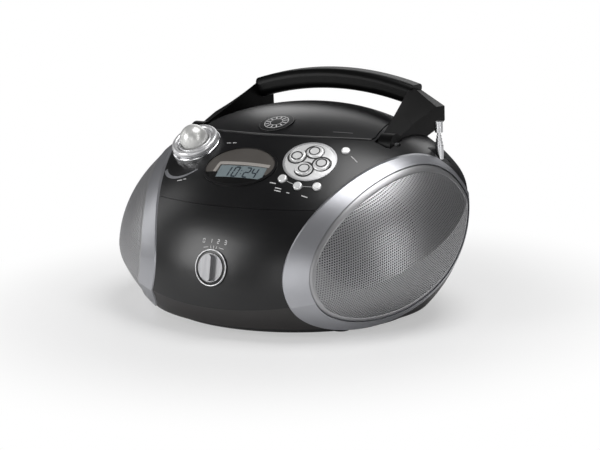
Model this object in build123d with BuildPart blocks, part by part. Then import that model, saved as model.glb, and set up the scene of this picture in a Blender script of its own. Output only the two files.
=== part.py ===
"""Portable CD radio: an egg-shaped body leaning back on its foot, split along one crease.

Millimetres, +Z up, front facing -Y, origin on the floor under the middle of the body.
"""
import os
from math import cos, hypot, radians, sin, sqrt

from build123d import *

# ---- body form ---------------------------------------------------------------------------
body_width = 350.0        # over the crease, side to side
half_width = body_width / 2
crease_length = 288.0     # front to back, measured along the leaning crease
crown_rise = 85.0         # from the crease up to the top of the form
keel_drop = 133.0         # from the crease down to the lowest point of the form
body_lean = 25.2          # degrees the crease climbs towards the back
body_y = -3.6             # middle of the crease
body_z = 88.8
shoulder_share = 0.62     # where crown and keel change curvature, as shares of reach and rise
crown_shoulder = 0.748
keel_shoulder = 0.767
wall = 2.5
seam_z = 114.0            # front panel meets the control deck
rear_y = 100.0            # rear cover meets the two cabinets
split_gap = 0.3           # moulding gap between two casings
floor_z = 9.0             # underside of the bottom cabinet
floor_wall = 2.5

# ---- speaker pods ------------------------------------------------------------------------
pod_turn = 55.0           # degrees each pod is turned from straight ahead
pod_inset = 175.0          # middle of the pods' frame, in from the side of the form
pod_along, pod_up = 36.0, 5.0
pod_length, pod_height = 101.0, 60.0          # half sizes of the bezel's outline
mesh_along, mesh_up = 44.0, 4.5
mesh_length, mesh_height = 89.0, 54.0         # half sizes of the grille's outline
bezel_proud = 1.0
fit_gap = 0.15            # between a casing and what is set into it
grille_sheet = 1.0
baffle_wall = 2.5
baffle_rear_y = 62.0
speaker_turn, speaker_rise = 42.0, 20.0       # degrees
speaker_inset = 47.5       # speaker face, in from the side
speaker_face = (half_width - speaker_inset, -79.2, 93.7)
horn_bore = 46.0
horn_wall = 2.5
flange_depth = 25.0
flange_radius = 54.0
driver_radius = 52.0
driver_depth = 24.0
magnet_radius = 30.0
magnet_height = 14.0

# ---- lid, deck and disc drive ------------------------------------------------------------
lid_front_radius = 150.0
lid_front_y = -37.6
lid_front_inset = 81.0     # where the lid's sides meet its front arc, in from the side of the form
lid_front_half = half_width - lid_front_inset
lid_taper = 14.0
lid_rear_half = lid_front_half - lid_taper
lid_rear_y = 80.0
lid_corner = 10.0
lid_gap = 0.5
lid_proud = 0.8
lid_wall = 2.2
hinge_y, hinge_z = 83.6, 171.0
hinge_radius = 2.9
hinge_trough = 3.6        # half depth of the gap the hinge lies in
hinge_inner_x, hinge_outer_x = 24.0, 40.0
hinge_lug = 5.0
hinge_gap = 0.3           # between lid and cabinet along the hinge
rear_relief = 1.6         # wider gap beside the hinges, where the lid's edge turns down
rear_relief_reach = 12.0
ear_rear_y = 91.0
hinge_pin_radius = 1.5
hinge_bore_gap = 0.05
badge_radius = 16.8
boss_radius = 7.0
clamp_radius = 13.0
clamp_neck_radius = 3.0
deck_lean = 5.0
deck_y, deck_z = 22.0, 158.0
deck_wall = 2.5
well_radius = 62.0
well_depth = 7.0
hub_radius = 15.0
spindle_radius = 7.4
motor_radius = 12.0
motor_height = 13.0
frame_drop = 9.0          # drive frame below the well floor

# ---- controls ----------------------------------------------------------------------------
display_spot = (-5.0, -40.0)
display_half = (38.5, 24.5)
display_rim = 2.4
glass_size = (50.0, 14.5)
glass_spot = (4.6, -6.9)
nav_spot = (58.4, -21.3)
nav_radius = 24.5
nav_ring = 12.0
nav_button_radius = 7.4
small_spots = {"menu_button": (44.0, -47.9), "memory_button": (60.4, -51.3), "mode_button": (76.7, -46.3)}
program_spot = (81.8, 2.6)
small_radius = 4.1
button_gap = 0.2
button_travel = 1.0
board_drop = 9.0          # circuit board below the crown at the pad
stem_gap = 1.3            # left under a pressed pad button
board_posts = ((-22.5, -27.5), (-22.5, 12.0))
small_stem = 5.0
volume_spot = (-69.0, -15.5)
volume_lean = 30.0
volume_lift = 6.0
pedestal_radius = 23.5
seat_depth = 13.0
collar_radius = 22.3
ball_radius = 11.3
ball_lift = 8.0
shaft_radius = 3.0
selector_u = -126.9
selector_radius = 16.5
selector_knob_radius = 12.8

# ---- handle ------------------------------------------------------------------------------
pivot_y, pivot_z = 8.0, 156.0
arm_lid_gap = 3.0
arm_width = 13.0
arm_splay = 15.5          # inner faces lean in by this much from the pivots to the back
pivot_radius = 11.0
pivot_pin_radius = 3.0
pin_gap = 0.05
pocket_gap = 0.8
pocket_shell = 1.2
pocket_front = 13.5       # room in front of a pivot for the arm when the handle is swung over
arm_tip_x = lid_front_half + arm_lid_gap     # inner face of an arm at its pivot
arm_outer_x = arm_tip_x + arm_width
handle_gap = 0.6          # handle clears the body by this much when it lies back
# where the arm is cut across: y, inner face, inner top edge, outer top edge, underside
arm_cuts = (
    (pivot_y, arm_tip_x, 166.0, 160.0, 150.0),
    (41.3, arm_tip_x - 5.8, 179.0, 171.0, 150.0),
    (86.5, arm_tip_x - 13.3, 199.0, 180.0, 159.0),
    (103.0, arm_tip_x - arm_splay, 195.0, 178.5, 165.0),
)
bar_y = 91.0
bar_depth, bar_height = 24.0, 19.5
bar_middle_z, bar_end_z = 202.5, 190.0
bar_seat = 3.5            # bar runs on into each arm
bar_half = arm_tip_x - arm_splay + bar_seat
bar_round = 7.0

# ---- antenna -----------------------------------------------------------------------------
antenna_inset = 41.0
antenna_x, antenna_y = half_width - antenna_inset, 45.5
antenna_foot_z, antenna_top_z = 38.0, 152.0
antenna_radii = (4.0, 3.42, 2.84, 2.26, 1.68)
tube_wall = 0.5
section_step = 3.0
tip_radius, tip_height = 3.7, 10.0
socket_length, socket_width = 17.0, 15.0
socket_floor_z = 139.0

# ---- foot, back and insides --------------------------------------------------------------
foot_inset = 54.0
foot_half = (half_width - foot_inset, 97.5)
foot_pad_inset = 33.0      # rubber pads, in from the ends of the foot
foot_pad_reach = 52.0
foot_y = -8.6
pad_height = 2.0
pad_radius = 9.0
foot_wall = 2.5
bay_half_width = 78.0
bay_bottom_z, bay_top_z = 40.0, 93.0
bay_front_y = 86.0
bay_wall = 2.0
inlet_x, inlet_z = -88.0, 116.0
inlet_size = (26.0, 17.0)
inlet_slot = (18.0, 8.0)
inlet_wall = 2.0          # behind the socket's pins
inlet_pin_x, inlet_pin_radius = 4.3, 1.2
inlet_pin_tip = 9.0       # pins end this far behind the rear parting line, inside the socket
screw_head_radius = 3.4
screw_spots = ((-104, 56), (104, 56), (-52, 112), (92, 116))
board_z = 18.5
board_size = (150.0, 84.0, 1.6)
far = 600.0               # longer than anything here, for cutting tools

os.makedirs("parts", exist_ok=True)

reach = crease_length / 2
stretch = half_width / reach
lean = radians(body_lean)
crease = Plane(origin=(0, body_y, body_z), x_dir=(1, 0, 0), z_dir=(0, -sin(lean), cos(lean)))
profile_plane = Plane(origin=crease.origin, x_dir=crease.y_dir, z_dir=(1, 0, 0))
crease_axis = Axis(crease.origin, crease.z_dir)


def upright_plane(y):
    """A plane facing the front, that far back."""
    return Plane(origin=(0, y, 0), x_dir=(1, 0, 0), z_dir=(0, -1, 0))


def save(part, label):
    """Label one finished piece and write it."""
    part.label = label
    export_step(part, f"parts/{label}.step")


# ---- one form for every casing -----------------------------------------------------------
def half_profile(inset, rise, share, sign):
    """Two tangent arcs from the axis out to the crease, drawn in by inset."""
    top = (0, sign * (rise - inset))
    knee = (shoulder_share * (reach - inset), sign * share * (rise - inset))
    cap = TangentArc(top, knee, tangent=(1, 0))
    shoulder = TangentArc(cap @ 1, (reach - inset, 0), tangent=cap % 1)
    return cap, shoulder


def crown_profile(inset):
    return half_profile(inset, crown_rise, crown_shoulder, 1)


def keel_profile(inset):
    return half_profile(inset, keel_drop, keel_shoulder, -1)


def body_solid(inset=0.0):
    """The whole body as a closed solid, drawn in (or let out, if negative) by inset."""
    with BuildPart() as form:
        with BuildSketch(profile_plane):
            with BuildLine():
                crown_profile(inset)
                keel_profile(inset)
                Line((0, crown_rise - inset), (0, inset - keel_drop))
            make_face()
        revolve(axis=crease_axis)
        scale(by=(stretch, 1, 1))
    return form.part


def crown_solid(inset=0.0):
    """The body above the crease as a closed solid."""
    with BuildPart() as form:
        with BuildSketch(profile_plane):
            with BuildLine():
                crown_profile(inset)
                Polyline((0, crown_rise - inset), (0, 0), (reach - inset, 0))
            make_face()
        revolve(axis=crease_axis)
        scale(by=(stretch, 1, 1))
    return form.part


def keel_solid(inset=0.0):
    """The body below the crease as a closed solid."""
    with BuildPart() as form:
        with BuildSketch(profile_plane):
            with BuildLine():
                keel_profile(inset)
                Polyline((0, inset - keel_drop), (0, 0), (reach - inset, 0))
            make_face()
        revolve(axis=crease_axis)
        scale(by=(stretch, 1, 1))
    return form.part


def crown_skin(outer, inner):
    """A shell of the crown between two insets."""
    with BuildPart() as skin:
        with BuildSketch(profile_plane):
            with BuildLine():
                crown_profile(outer)
                crown_profile(inner)
                Line((0, crown_rise - outer), (0, crown_rise - inner))
                Line((reach - outer, 0), (reach - inner, 0))
            make_face()
        revolve(axis=crease_axis)
        scale(by=(stretch, 1, 1))
    return skin.part


def body_skin(outer, inner):
    """A shell of the whole body between two insets."""
    with BuildPart() as skin:
        with BuildSketch(profile_plane):
            with BuildLine():
                for inset in (outer, inner):
                    crown_profile(inset)
                    keel_profile(inset)
                Line((0, crown_rise - outer), (0, crown_rise - inner))
                Line((0, outer - keel_drop), (0, inner - keel_drop))
            make_face()
        revolve(axis=crease_axis)
        scale(by=(stretch, 1, 1))
    return skin.part


crown_cap, crown_side = crown_profile(0)


def crown_spot(x, along, lift=0.0):
    """Plane on the crown over the crease point (x, along), its Z straight out of the surface."""
    out = hypot(x / stretch, along)
    arc = crown_cap if out < shoulder_share * reach else crown_side
    centre = arc.arc_center
    height = centre.Y + sqrt(arc.radius**2 - (out - centre.X) ** 2)
    slope = (out - centre.X) / (height - centre.Y) / out
    normal = crease.x_dir * (slope * x / stretch**2) + crease.y_dir * (slope * along) + crease.z_dir
    place = crease.origin + crease.x_dir * x + crease.y_dir * along + crease.z_dir * height
    spot = Plane(origin=place, x_dir=(1, 0, -normal.X / normal.Z), z_dir=normal)
    return spot.offset(lift)


def region(low=(-far, -far, -far), high=(far, far, far)):
    """A plain block between two corners, for keeping one side of a cut."""
    size = [b - a for a, b in zip(low, high)]
    middle = [(a + b) / 2 for a, b in zip(low, high)]
    return Pos(*middle) * Box(*size, mode=Mode.PRIVATE)


def mirrored(part):
    return mirror(part, about=Plane.YZ, mode=Mode.PRIVATE)


def along_x(y, z, radius, low_x, high_x):
    """A cylinder parallel to X between two x values."""
    with BuildPart() as rod:
        with BuildSketch(Plane(origin=(low_x, y, z), x_dir=(0, 1, 0), z_dir=(1, 0, 0))):
            Circle(radius)
        extrude(amount=high_x - low_x)
    return rod.part


def pivot_cylinder(radius, low_x, high_x):
    """A cylinder along the handle's axis between two x values."""
    return along_x(pivot_y, pivot_z, radius, low_x, high_x)


def spot_cylinder(spot, radius, below=12.0, above=12.0):
    """A cylinder square to the crown at one spot."""
    with BuildPart() as peg:
        with BuildSketch(spot.offset(-below)):
            Circle(radius)
        extrude(amount=below + above)
    return peg.part


def spot_oval(spot, along, up, below=12.0, above=12.0):
    with BuildPart() as peg:
        with BuildSketch(spot.offset(-below)):
            Ellipse(along, up)
        extrude(amount=below + above)
    return peg.part


display_plane = crown_spot(*display_spot)
nav_plane = crown_spot(*nav_spot)
program_plane = crown_spot(*program_spot)
small_planes = {label: crown_spot(*spot) for label, spot in small_spots.items()}
volume_root = crown_spot(*volume_spot)
volume_plane = Plane(
    origin=volume_root.origin + Vector(0, 0, volume_lift),
    x_dir=(1, 0, 0), z_dir=(0, -sin(radians(volume_lean)), cos(radians(volume_lean))),
)
selector_plane = crown_spot(0, selector_u)
antenna_relief = region(
    (antenna_x - socket_width / 2 - 0.2, antenna_y - socket_length / 2 - 0.2, 0),
    (antenna_x + socket_width / 2 + 0.2, antenna_y + socket_length / 2 + 0.2, far),
)

# ---- speaker pods ------------------------------------------------------------------------
turn = radians(pod_turn)
pod_plane = Plane(
    origin=crease.origin + crease.x_dir * (half_width - pod_inset),
    x_dir=crease.x_dir * cos(turn) + crease.y_dir * sin(turn),
    z_dir=crease.x_dir * sin(turn) - crease.y_dir * cos(turn),
)


def pod_prism(along, up, length, height):
    """The oval prism that cuts the right pod out of the body."""
    with BuildPart() as prism:
        with BuildSketch(pod_plane):
            with Locations((along, up)):
                Ellipse(length, height)
        extrude(amount=far / 2)
    return prism.part


pod_cut = pod_prism(pod_along, pod_up, pod_length, pod_height)
bezel_block = pod_prism(pod_along, pod_up, pod_length - fit_gap, pod_height - fit_gap)
mesh_cut = pod_prism(mesh_along, mesh_up, mesh_length, mesh_height)
mesh_block = pod_prism(mesh_along, mesh_up, mesh_length - fit_gap, mesh_height - fit_gap)

with BuildPart() as bezel:
    add(body_skin(-bezel_proud, wall))
    add(bezel_block, mode=Mode.INTERSECT)
    add(mesh_cut, mode=Mode.SUBTRACT)

with BuildPart() as grille:
    add(body_skin(0, grille_sheet))
    add(mesh_block, mode=Mode.INTERSECT)

save(bezel.part - antenna_relief, "bezel_right")
save(mirrored(bezel.part), "bezel_left")
save(grille.part, "grille_right")
save(mirrored(grille.part), "grille_left")


# ---- loudspeakers ------------------------------------------------------------------------
swing, rise = radians(speaker_turn), radians(speaker_rise)
speaker_out = Vector(sin(swing) * cos(rise), -cos(swing) * cos(rise), sin(rise))
speaker_front = Plane(origin=speaker_face, x_dir=(cos(swing), sin(swing), 0), z_dir=speaker_out)
flange_plane = speaker_front.offset(-flange_depth)
baffle_limit = region((0, -far, floor_z + floor_wall + 0.5), (far, baffle_rear_y, far))

baffle_reliefs = (
    pivot_cylinder(pivot_radius + pocket_gap + pocket_shell + 0.3, 0, far),
    mirrored(spot_cylinder(volume_plane, pedestal_radius + 1, below=40, above=30)),
    spot_cylinder(small_planes["mode_button"], small_radius + 2),
    antenna_relief,
)

with BuildPart() as baffle:
    with BuildSketch(flange_plane):
        Circle(horn_bore + horn_wall)
    extrude(amount=far / 4)
    add(body_solid(wall + baffle_wall), mode=Mode.INTERSECT)
    oval = pod_prism(pod_along, pod_up, pod_length + 1.5, pod_height + 1.5)
    add(body_skin(wall + 0.2, wall + baffle_wall) & oval)
    with BuildSketch(flange_plane):
        Circle(flange_radius)
    extrude(amount=2)
    with BuildSketch(flange_plane.offset(-1)):
        Circle(horn_bore)
    extrude(amount=far / 4, mode=Mode.SUBTRACT)
    add(body_solid(wall + 0.2), mode=Mode.INTERSECT)
    add(baffle_limit, mode=Mode.INTERSECT)
    add(baffle_reliefs, mode=Mode.SUBTRACT)

# driver, drawn as (radius, height) behind the flange
driver_plane = Plane(origin=flange_plane.origin, x_dir=flange_plane.x_dir, z_dir=flange_plane.z_dir)
driver_profile = Plane(origin=driver_plane.origin, x_dir=driver_plane.x_dir, z_dir=-driver_plane.y_dir)
driver_axis = Axis(driver_plane.origin, driver_plane.z_dir)

with BuildPart() as basket:
    with BuildSketch(driver_profile):
        with BuildLine():
            Polyline(
                (driver_radius - 6, -0.2), (driver_radius, -0.2), (driver_radius, -2.2),
                (magnet_radius, -driver_depth), (12, -driver_depth), (12, -driver_depth + 1.6),
                (magnet_radius - 1, -driver_depth + 1.6), (driver_radius - 6, -3), close=True,
            )
        make_face()
    revolve(axis=driver_axis)
    with BuildSketch(driver_plane.offset(-6)):
        with PolarLocations(34, 4, start_angle=45):
            Circle(9)
    extrude(amount=-far / 6, mode=Mode.SUBTRACT)

with BuildPart() as cone:
    with BuildSketch(driver_profile):
        with BuildLine():
            rim = driver_radius - 6.2
            TangentArc((0, -12), (14, -17), tangent=(1, 0))
            Polyline(
                (14, -17), (rim - 6, -0.4), (rim, -0.4), (rim, -2), (rim - 5, -2),
                (14.5, -20), (13, -20), (13, -18.6), (0, -13.6), (0, -12),
            )
        make_face()
    revolve(axis=driver_axis)

with BuildPart() as magnet:
    with BuildSketch(driver_plane.offset(-driver_depth - 0.05)):
        Circle(magnet_radius)
    extrude(amount=-magnet_height)

for part, label in (
    (baffle, "speaker_baffles"), (basket, "speaker_baskets"), (cone, "speaker_cones"),
    (magnet, "speaker_magnets"),
):
    save(Part() + [part.part, mirrored(part.part)], label)


# ---- casings -----------------------------------------------------------------------------
def lid_prism(grow):
    """The lid's plan outline, grown by a margin, as a tall prism."""
    front_half, rear_half = lid_front_half + grow, lid_rear_half + grow
    arc_y = lid_front_y + lid_front_radius
    corner_y = arc_y - sqrt(lid_front_radius**2 - lid_front_half**2) - grow
    with BuildPart() as prism:
        with BuildSketch(Plane.XY.offset(seam_z)) as outline:
            with BuildLine():
                ThreePointArc((-front_half, corner_y), (0, lid_front_y - grow), (front_half, corner_y))
                Polyline(
                    (front_half, corner_y), (rear_half, lid_rear_y + grow),
                    (-rear_half, lid_rear_y + grow), (-front_half, corner_y),
                )
            make_face()
            fillet(outline.vertices(), radius=lid_corner + grow)
        extrude(amount=far / 4)
    return prism.part


pocket = pivot_cylinder(pivot_radius + pocket_gap, arm_tip_x - pocket_gap, arm_outer_x + pocket_gap)
pocket_mouth = region(
    (arm_tip_x - 2 * pocket_gap, pivot_y - pocket_front, pivot_z),
    (arm_outer_x + pocket_gap, pivot_y, far),
)
pocket_reach = pocket_gap + pocket_shell
pocket_wall = pivot_cylinder(pivot_radius + pocket_reach, arm_tip_x - pocket_reach, arm_outer_x + pocket_reach)
pin_hole = pivot_cylinder(pivot_pin_radius, arm_tip_x - 2 * pocket_reach, arm_outer_x + 2 * pocket_reach)
notch_centre = (antenna_x, antenna_y)

with BuildPart() as top_cabinet:
    add(crown_skin(0, wall))
    add(region(low=(-far, -far, seam_z), high=(far, rear_y, far)), mode=Mode.INTERSECT)
    for wall_part in (pocket_wall, mirrored(pocket_wall)):
        add(wall_part & crown_solid(wall))
    add(pod_cut, mode=Mode.SUBTRACT)
    add(mirrored(pod_cut), mode=Mode.SUBTRACT)
    add(lid_prism(lid_gap), mode=Mode.SUBTRACT)
    with BuildSketch(Plane.XY.offset(seam_z)):
        with Locations((0, lid_rear_y + hinge_trough)):
            Rectangle(2 * (hinge_outer_x + hinge_lug), 2 * hinge_trough)
        with Locations((0, lid_rear_y)):
            Rectangle(2 * (hinge_outer_x + hinge_lug + rear_relief_reach), 2 * rear_relief)
    extrude(amount=far / 4, mode=Mode.SUBTRACT)
    for side in (-1, 1):
        for near in (hinge_inner_x - hinge_lug, hinge_outer_x + hinge_gap):
            low_x, high_x = sorted((side * near, side * (near + hinge_lug - hinge_gap)))
            add(along_x(hinge_y, hinge_z, hinge_radius, low_x, high_x))
            add(region((low_x, hinge_y, hinge_z - hinge_radius), (high_x, ear_rear_y, hinge_z + 1)))
            upper = region((low_x, ear_rear_y - 4.5, hinge_z - hinge_radius), (high_x, ear_rear_y, far))
            add(upper & crown_solid(1))
    add(along_x(hinge_y, hinge_z, hinge_pin_radius, -lid_rear_half, lid_rear_half), mode=Mode.SUBTRACT)
    for room in (pocket, pocket_mouth):
        add(room, mode=Mode.SUBTRACT)
        add(mirrored(room), mode=Mode.SUBTRACT)
    add(pin_hole, mode=Mode.SUBTRACT)
    add(mirrored(pin_hole), mode=Mode.SUBTRACT)
    add(spot_oval(display_plane, display_half[0], display_half[1]), mode=Mode.SUBTRACT)
    add(spot_cylinder(nav_plane, nav_radius), mode=Mode.SUBTRACT)
    for plane in (program_plane, *small_planes.values()):
        add(spot_cylinder(plane, small_radius + button_gap), mode=Mode.SUBTRACT)
    add(spot_cylinder(volume_plane, pedestal_radius + fit_gap, below=40, above=30), mode=Mode.SUBTRACT)
    with BuildSketch(Plane.XY.offset(socket_floor_z - 20)):
        with Locations(notch_centre):
            Rectangle(socket_width, socket_length)
    extrude(amount=60, mode=Mode.SUBTRACT)

with BuildPart() as front_panel:
    add(crown_skin(0, wall))
    add(region(low=(-far, -far, 0), high=(far, 0, seam_z - split_gap)), mode=Mode.INTERSECT)
    add(pod_cut, mode=Mode.SUBTRACT)
    add(mirrored(pod_cut), mode=Mode.SUBTRACT)
    add(spot_cylinder(selector_plane, selector_radius + fit_gap), mode=Mode.SUBTRACT)

with BuildPart() as bottom_cabinet:
    add(keel_solid())
    add(keel_solid(wall), mode=Mode.SUBTRACT)
    with BuildSketch(Plane.XY.offset(floor_z)):
        Rectangle(far, far)
    extrude(amount=floor_wall)
    add(keel_solid(), mode=Mode.INTERSECT)
    add(region(low=(-far, -far, floor_z), high=(far, rear_y, far)), mode=Mode.INTERSECT)
    add(pod_cut, mode=Mode.SUBTRACT)
    add(mirrored(pod_cut), mode=Mode.SUBTRACT)

for part, label in (
    (top_cabinet, "top_cabinet"), (front_panel, "front_panel"), (bottom_cabinet, "bottom_cabinet"),
):
    save(part.part, label)


# ---- deck and disc drive -----------------------------------------------------------------
deck_slope = radians(deck_lean)
deck_up = (0, -sin(deck_slope), cos(deck_slope))
deck_plane = Plane(origin=(0, deck_y, deck_z), x_dir=(1, 0, 0), z_dir=deck_up)


def deck_disc(radius, low, high, centre=(0, 0)):
    """A round slab square to the deck."""
    with BuildPart() as slab:
        with BuildSketch(deck_plane.offset(low)):
            with Locations(centre):
                Circle(radius)
        extrude(amount=high - low)
    return slab.part


def deck_block(size, low, high, centre=(0, 0)):
    """A rectangular slab square to the deck."""
    with BuildPart() as slab:
        with BuildSketch(deck_plane.offset(low)):
            with Locations(centre):
                Rectangle(*size)
        extrude(amount=high - low)
    return slab.part


well_floor = -well_depth - deck_wall
pocket_relief = pivot_cylinder(pivot_radius + pocket_reach + 0.2, arm_tip_x - pocket_reach - 0.2, far)
deck_reliefs = (
    pocket_relief, mirrored(pocket_relief),
    spot_cylinder(volume_plane, pedestal_radius + 0.6, below=40, above=0),
)
tongue_half, tongue_y = 4.0, -30.0
clamp_bottom = -well_depth + 3.7
clamp_top = clamp_bottom + 2.6

# ---- lid ---------------------------------------------------------------------------------
badge_plane = crown_spot(0, 24.0)
lid_blank = crown_skin(-lid_proud, lid_wall) & lid_prism(0)

with BuildPart() as cd_lid:
    add(lid_blank)
    for side in (-1, 1):
        low_x, high_x = sorted((side * hinge_inner_x, side * hinge_outer_x))
        add(along_x(hinge_y, hinge_z, hinge_radius, low_x, high_x))
        add(region((low_x, lid_rear_y - 3, hinge_z - 1.5), (high_x, hinge_y, hinge_z + 1.5)))
        root = region((low_x, lid_rear_y - 3, hinge_z - 1.5), (high_x, lid_rear_y, far))
        add(root & crown_solid(-lid_proud))
    bore = along_x(hinge_y, hinge_z, hinge_pin_radius + hinge_bore_gap, -hinge_outer_x - 1, hinge_outer_x + 1)
    add(bore, mode=Mode.SUBTRACT)
    add(deck_disc(boss_radius, clamp_top + 0.2, 60) & crown_solid(lid_wall - 0.2))
    add(deck_disc(clamp_neck_radius + 0.05, clamp_top, clamp_top + 7), mode=Mode.SUBTRACT)
    tongue = region((-tongue_half, tongue_y - 1, 151), (tongue_half, tongue_y + 1, far))
    add(tongue & crown_solid(lid_wall - 0.2))
    badge_seat = crown_skin(-lid_proud - 1, 0.85) & spot_cylinder(badge_plane, badge_radius + fit_gap)
    add(badge_seat, mode=Mode.SUBTRACT)

with BuildPart() as lid_badge:
    add(crown_skin(-lid_proud - 0.8, 0.8) & spot_cylinder(badge_plane, badge_radius))

with BuildPart() as hinge_pins:
    for side in (-1, 1):
        low_x, high_x = sorted((side * (hinge_inner_x - hinge_lug), side * (hinge_outer_x + hinge_lug)))
        add(along_x(hinge_y, hinge_z, hinge_pin_radius, low_x, high_x))

slot_centre, slot_size = (0, -36), (20, 46)

with BuildPart() as cd_deck:
    add(deck_block((far, far), -deck_wall, 0) & lid_prism(2.6))
    add(lid_prism(2.6) - lid_prism(1) & deck_block((far, far), -deck_wall, 40))
    add(deck_disc(well_radius + deck_wall, well_floor, 0))
    add(crown_solid(wall + 0.1), mode=Mode.INTERSECT)
    add(deck_disc(well_radius, -well_depth, far), mode=Mode.SUBTRACT)
    add(deck_disc(hub_radius + 2, well_floor - 1, 0), mode=Mode.SUBTRACT)
    add(deck_block(slot_size, well_floor - 1, 0, slot_centre), mode=Mode.SUBTRACT)
    hinge_half = hinge_outer_x + hinge_lug + 1
    add(region((-hinge_half, lid_rear_y - 5, hinge_z - 5), (hinge_half, far, far)), mode=Mode.SUBTRACT)
    add(deck_reliefs, mode=Mode.SUBTRACT)
    slot = region((-tongue_half - 0.4, tongue_y - 1.4, 0), (tongue_half + 0.4, tongue_y + 1.4, far))
    add(slot, mode=Mode.SUBTRACT)

frame_top = well_floor - frame_drop
with BuildPart() as spindle_motor:
    add(deck_disc(motor_radius, frame_top - 2 - motor_height, frame_top - 2.05))
    add(deck_disc(1.0, frame_top - 3, well_floor - 1.2))

with BuildPart() as turntable:
    add(deck_disc(hub_radius, well_floor - 2.5, -well_depth + 1.2))
    add(deck_disc(spindle_radius, -well_depth + 1.2, -well_depth + 3.4))
    add(deck_disc(1.03, well_floor - 3, well_floor - 1.2), mode=Mode.SUBTRACT)

rod_x = 16.0
rod_level = frame_top + 4


def rod_end(x, along):
    """The plane a guide rod starts from, facing the front edge of the deck."""
    start = deck_plane.from_local_coords(Vector(x, along, rod_level))
    return Plane(origin=start, x_dir=(1, 0, 0), z_dir=-deck_plane.y_dir)


with BuildPart() as pickup_sled:
    add(deck_block((40, 16), rod_level - 2.5, rod_level + 2.5, (0, -28)))
    add(deck_disc(4, rod_level, well_floor - 0.6, (0, -28)))
    for side in (-1, 1):
        with BuildSketch(rod_end(side * rod_x, 0)):
            Circle(1.55)
        extrude(amount=60, mode=Mode.SUBTRACT)

with BuildPart() as sled_rods:
    for side in (-1, 1):
        with BuildSketch(rod_end(side * rod_x, -1)):
            Circle(1.5)
        extrude(amount=58)

with BuildPart() as drive_frame:
    add(deck_block((104, 100), frame_top - 2, frame_top, (0, -10)))
    for centre in ((-46, 34), (46, 34), (-46, -54), (46, -54)):
        add(deck_disc(4, frame_top, well_floor - 0.1, centre))
    add(deck_block((26, 60), frame_top - 3, frame_top + 1, (0, -31)), mode=Mode.SUBTRACT)
    add(deck_disc(4.5, frame_top - 3, frame_top + 1), mode=Mode.SUBTRACT)
    for side in (-1, 1):
        for seat_y in (-0.5, -58.5):
            add(deck_block((6, 3), frame_top, rod_level + 2, (side * rod_x, seat_y)))
    add(sled_rods.part, mode=Mode.SUBTRACT)

with BuildPart() as disc_clamp:
    add(deck_disc(clamp_radius, clamp_bottom, clamp_top))
    add(deck_disc(clamp_neck_radius, clamp_top, clamp_top + 6))

with BuildPart() as lid_catch:
    add(region((-tongue_half - 2.4, tongue_y - 1.3, 143), (tongue_half + 2.4, tongue_y + 1.3, 151.6)))
    mouth = region((-tongue_half - 0.3, tongue_y - 3, 145), (tongue_half + 0.3, tongue_y + 3, far))
    add(mouth, mode=Mode.SUBTRACT)

for part, label in (
    (disc_clamp, "disc_clamp"), (lid_catch, "lid_catch"),
    (cd_lid, "cd_lid"), (lid_badge, "lid_badge"), (hinge_pins, "hinge_pins"), (cd_deck, "cd_deck"),
    (drive_frame, "drive_frame"), (spindle_motor, "spindle_motor"), (turntable, "turntable"),
    (pickup_sled, "pickup_sled"), (sled_rods, "sled_rods"),
):
    save(part.part, label)

# ---- handle ------------------------------------------------------------------------------
with BuildPart() as right_arm:
    for y, inner_x, inner_top, outer_top, low in arm_cuts:
        with BuildSketch(upright_plane(y)):
            with BuildLine():
                Polyline(
                    (inner_x, low), (arm_outer_x, low), (arm_outer_x, outer_top), (inner_x, inner_top),
                    close=True
                )
            make_face()
    loft(ruled=True)
    add(body_solid(-handle_gap), mode=Mode.SUBTRACT)
    add(pivot_cylinder(pivot_radius, arm_tip_x, arm_outer_x))
    add(pivot_cylinder(pivot_pin_radius + pin_gap, arm_tip_x - 1, arm_outer_x + 1), mode=Mode.SUBTRACT)

with BuildPart() as bar:
    with BuildLine():
        left_end, right_end = (-bar_half, bar_y, bar_end_z), (bar_half, bar_y, bar_end_z)
        spine = ThreePointArc(left_end, (0, bar_y, bar_middle_z), right_end)
    with BuildSketch(Plane(origin=spine @ 0, x_dir=(0, 1, 0), z_dir=spine % 0)):
        RectangleRounded(bar_depth, bar_height, bar_round)
    sweep()

with BuildPart() as handle:
    add(bar.part)
    add(right_arm.part)
    add(mirrored(right_arm.part))

with BuildPart() as handle_pins:
    rod = pivot_cylinder(pivot_pin_radius, arm_tip_x - pocket_reach, arm_outer_x + pocket_reach)
    add(rod)
    add(mirrored(rod))

save(handle.part, "handle")
save(handle_pins.part, "handle_pins")

# ---- display and pad ---------------------------------------------------------------------
button_bore = nav_button_radius + button_gap
pad_offsets = {"up": (-0.5, 11.3), "left": (-13.3, 0.9), "right": (12.2, -0.3), "down": (-0.3, -11.2)}


def domed_button(plane, radius, proud, stem):
    """A round button with a rounded cap, guided square to the crown."""
    root = wall + 1.6
    with BuildPart() as button:
        with BuildSketch(plane.offset(-root)):
            Circle(radius)
        extrude(amount=root + proud)
        fillet(button.faces().sort_by(Axis(plane.origin, plane.z_dir))[-1].edges(), radius=min(1.6, radius / 3))
        with BuildSketch(plane.offset(-root)):
            Circle(radius + 0.6)
        extrude(amount=0.6)
        with BuildSketch(plane.offset(-stem)):
            Circle(1.5)
        extrude(amount=stem - root)
    return button.part


glass_plane = display_plane
with BuildPart() as glass_window:
    with BuildSketch(glass_plane.offset(-12)):
        with Locations(glass_spot):
            Rectangle(*glass_size)
    extrude(amount=24)

with BuildPart() as display_ring:
    add(crown_skin(-1.3, wall) & spot_oval(display_plane, display_half[0] - fit_gap, display_half[1] - fit_gap))
    inside = spot_oval(display_plane, display_half[0] - display_rim, display_half[1] - display_rim)
    add(inside, mode=Mode.SUBTRACT)

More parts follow.
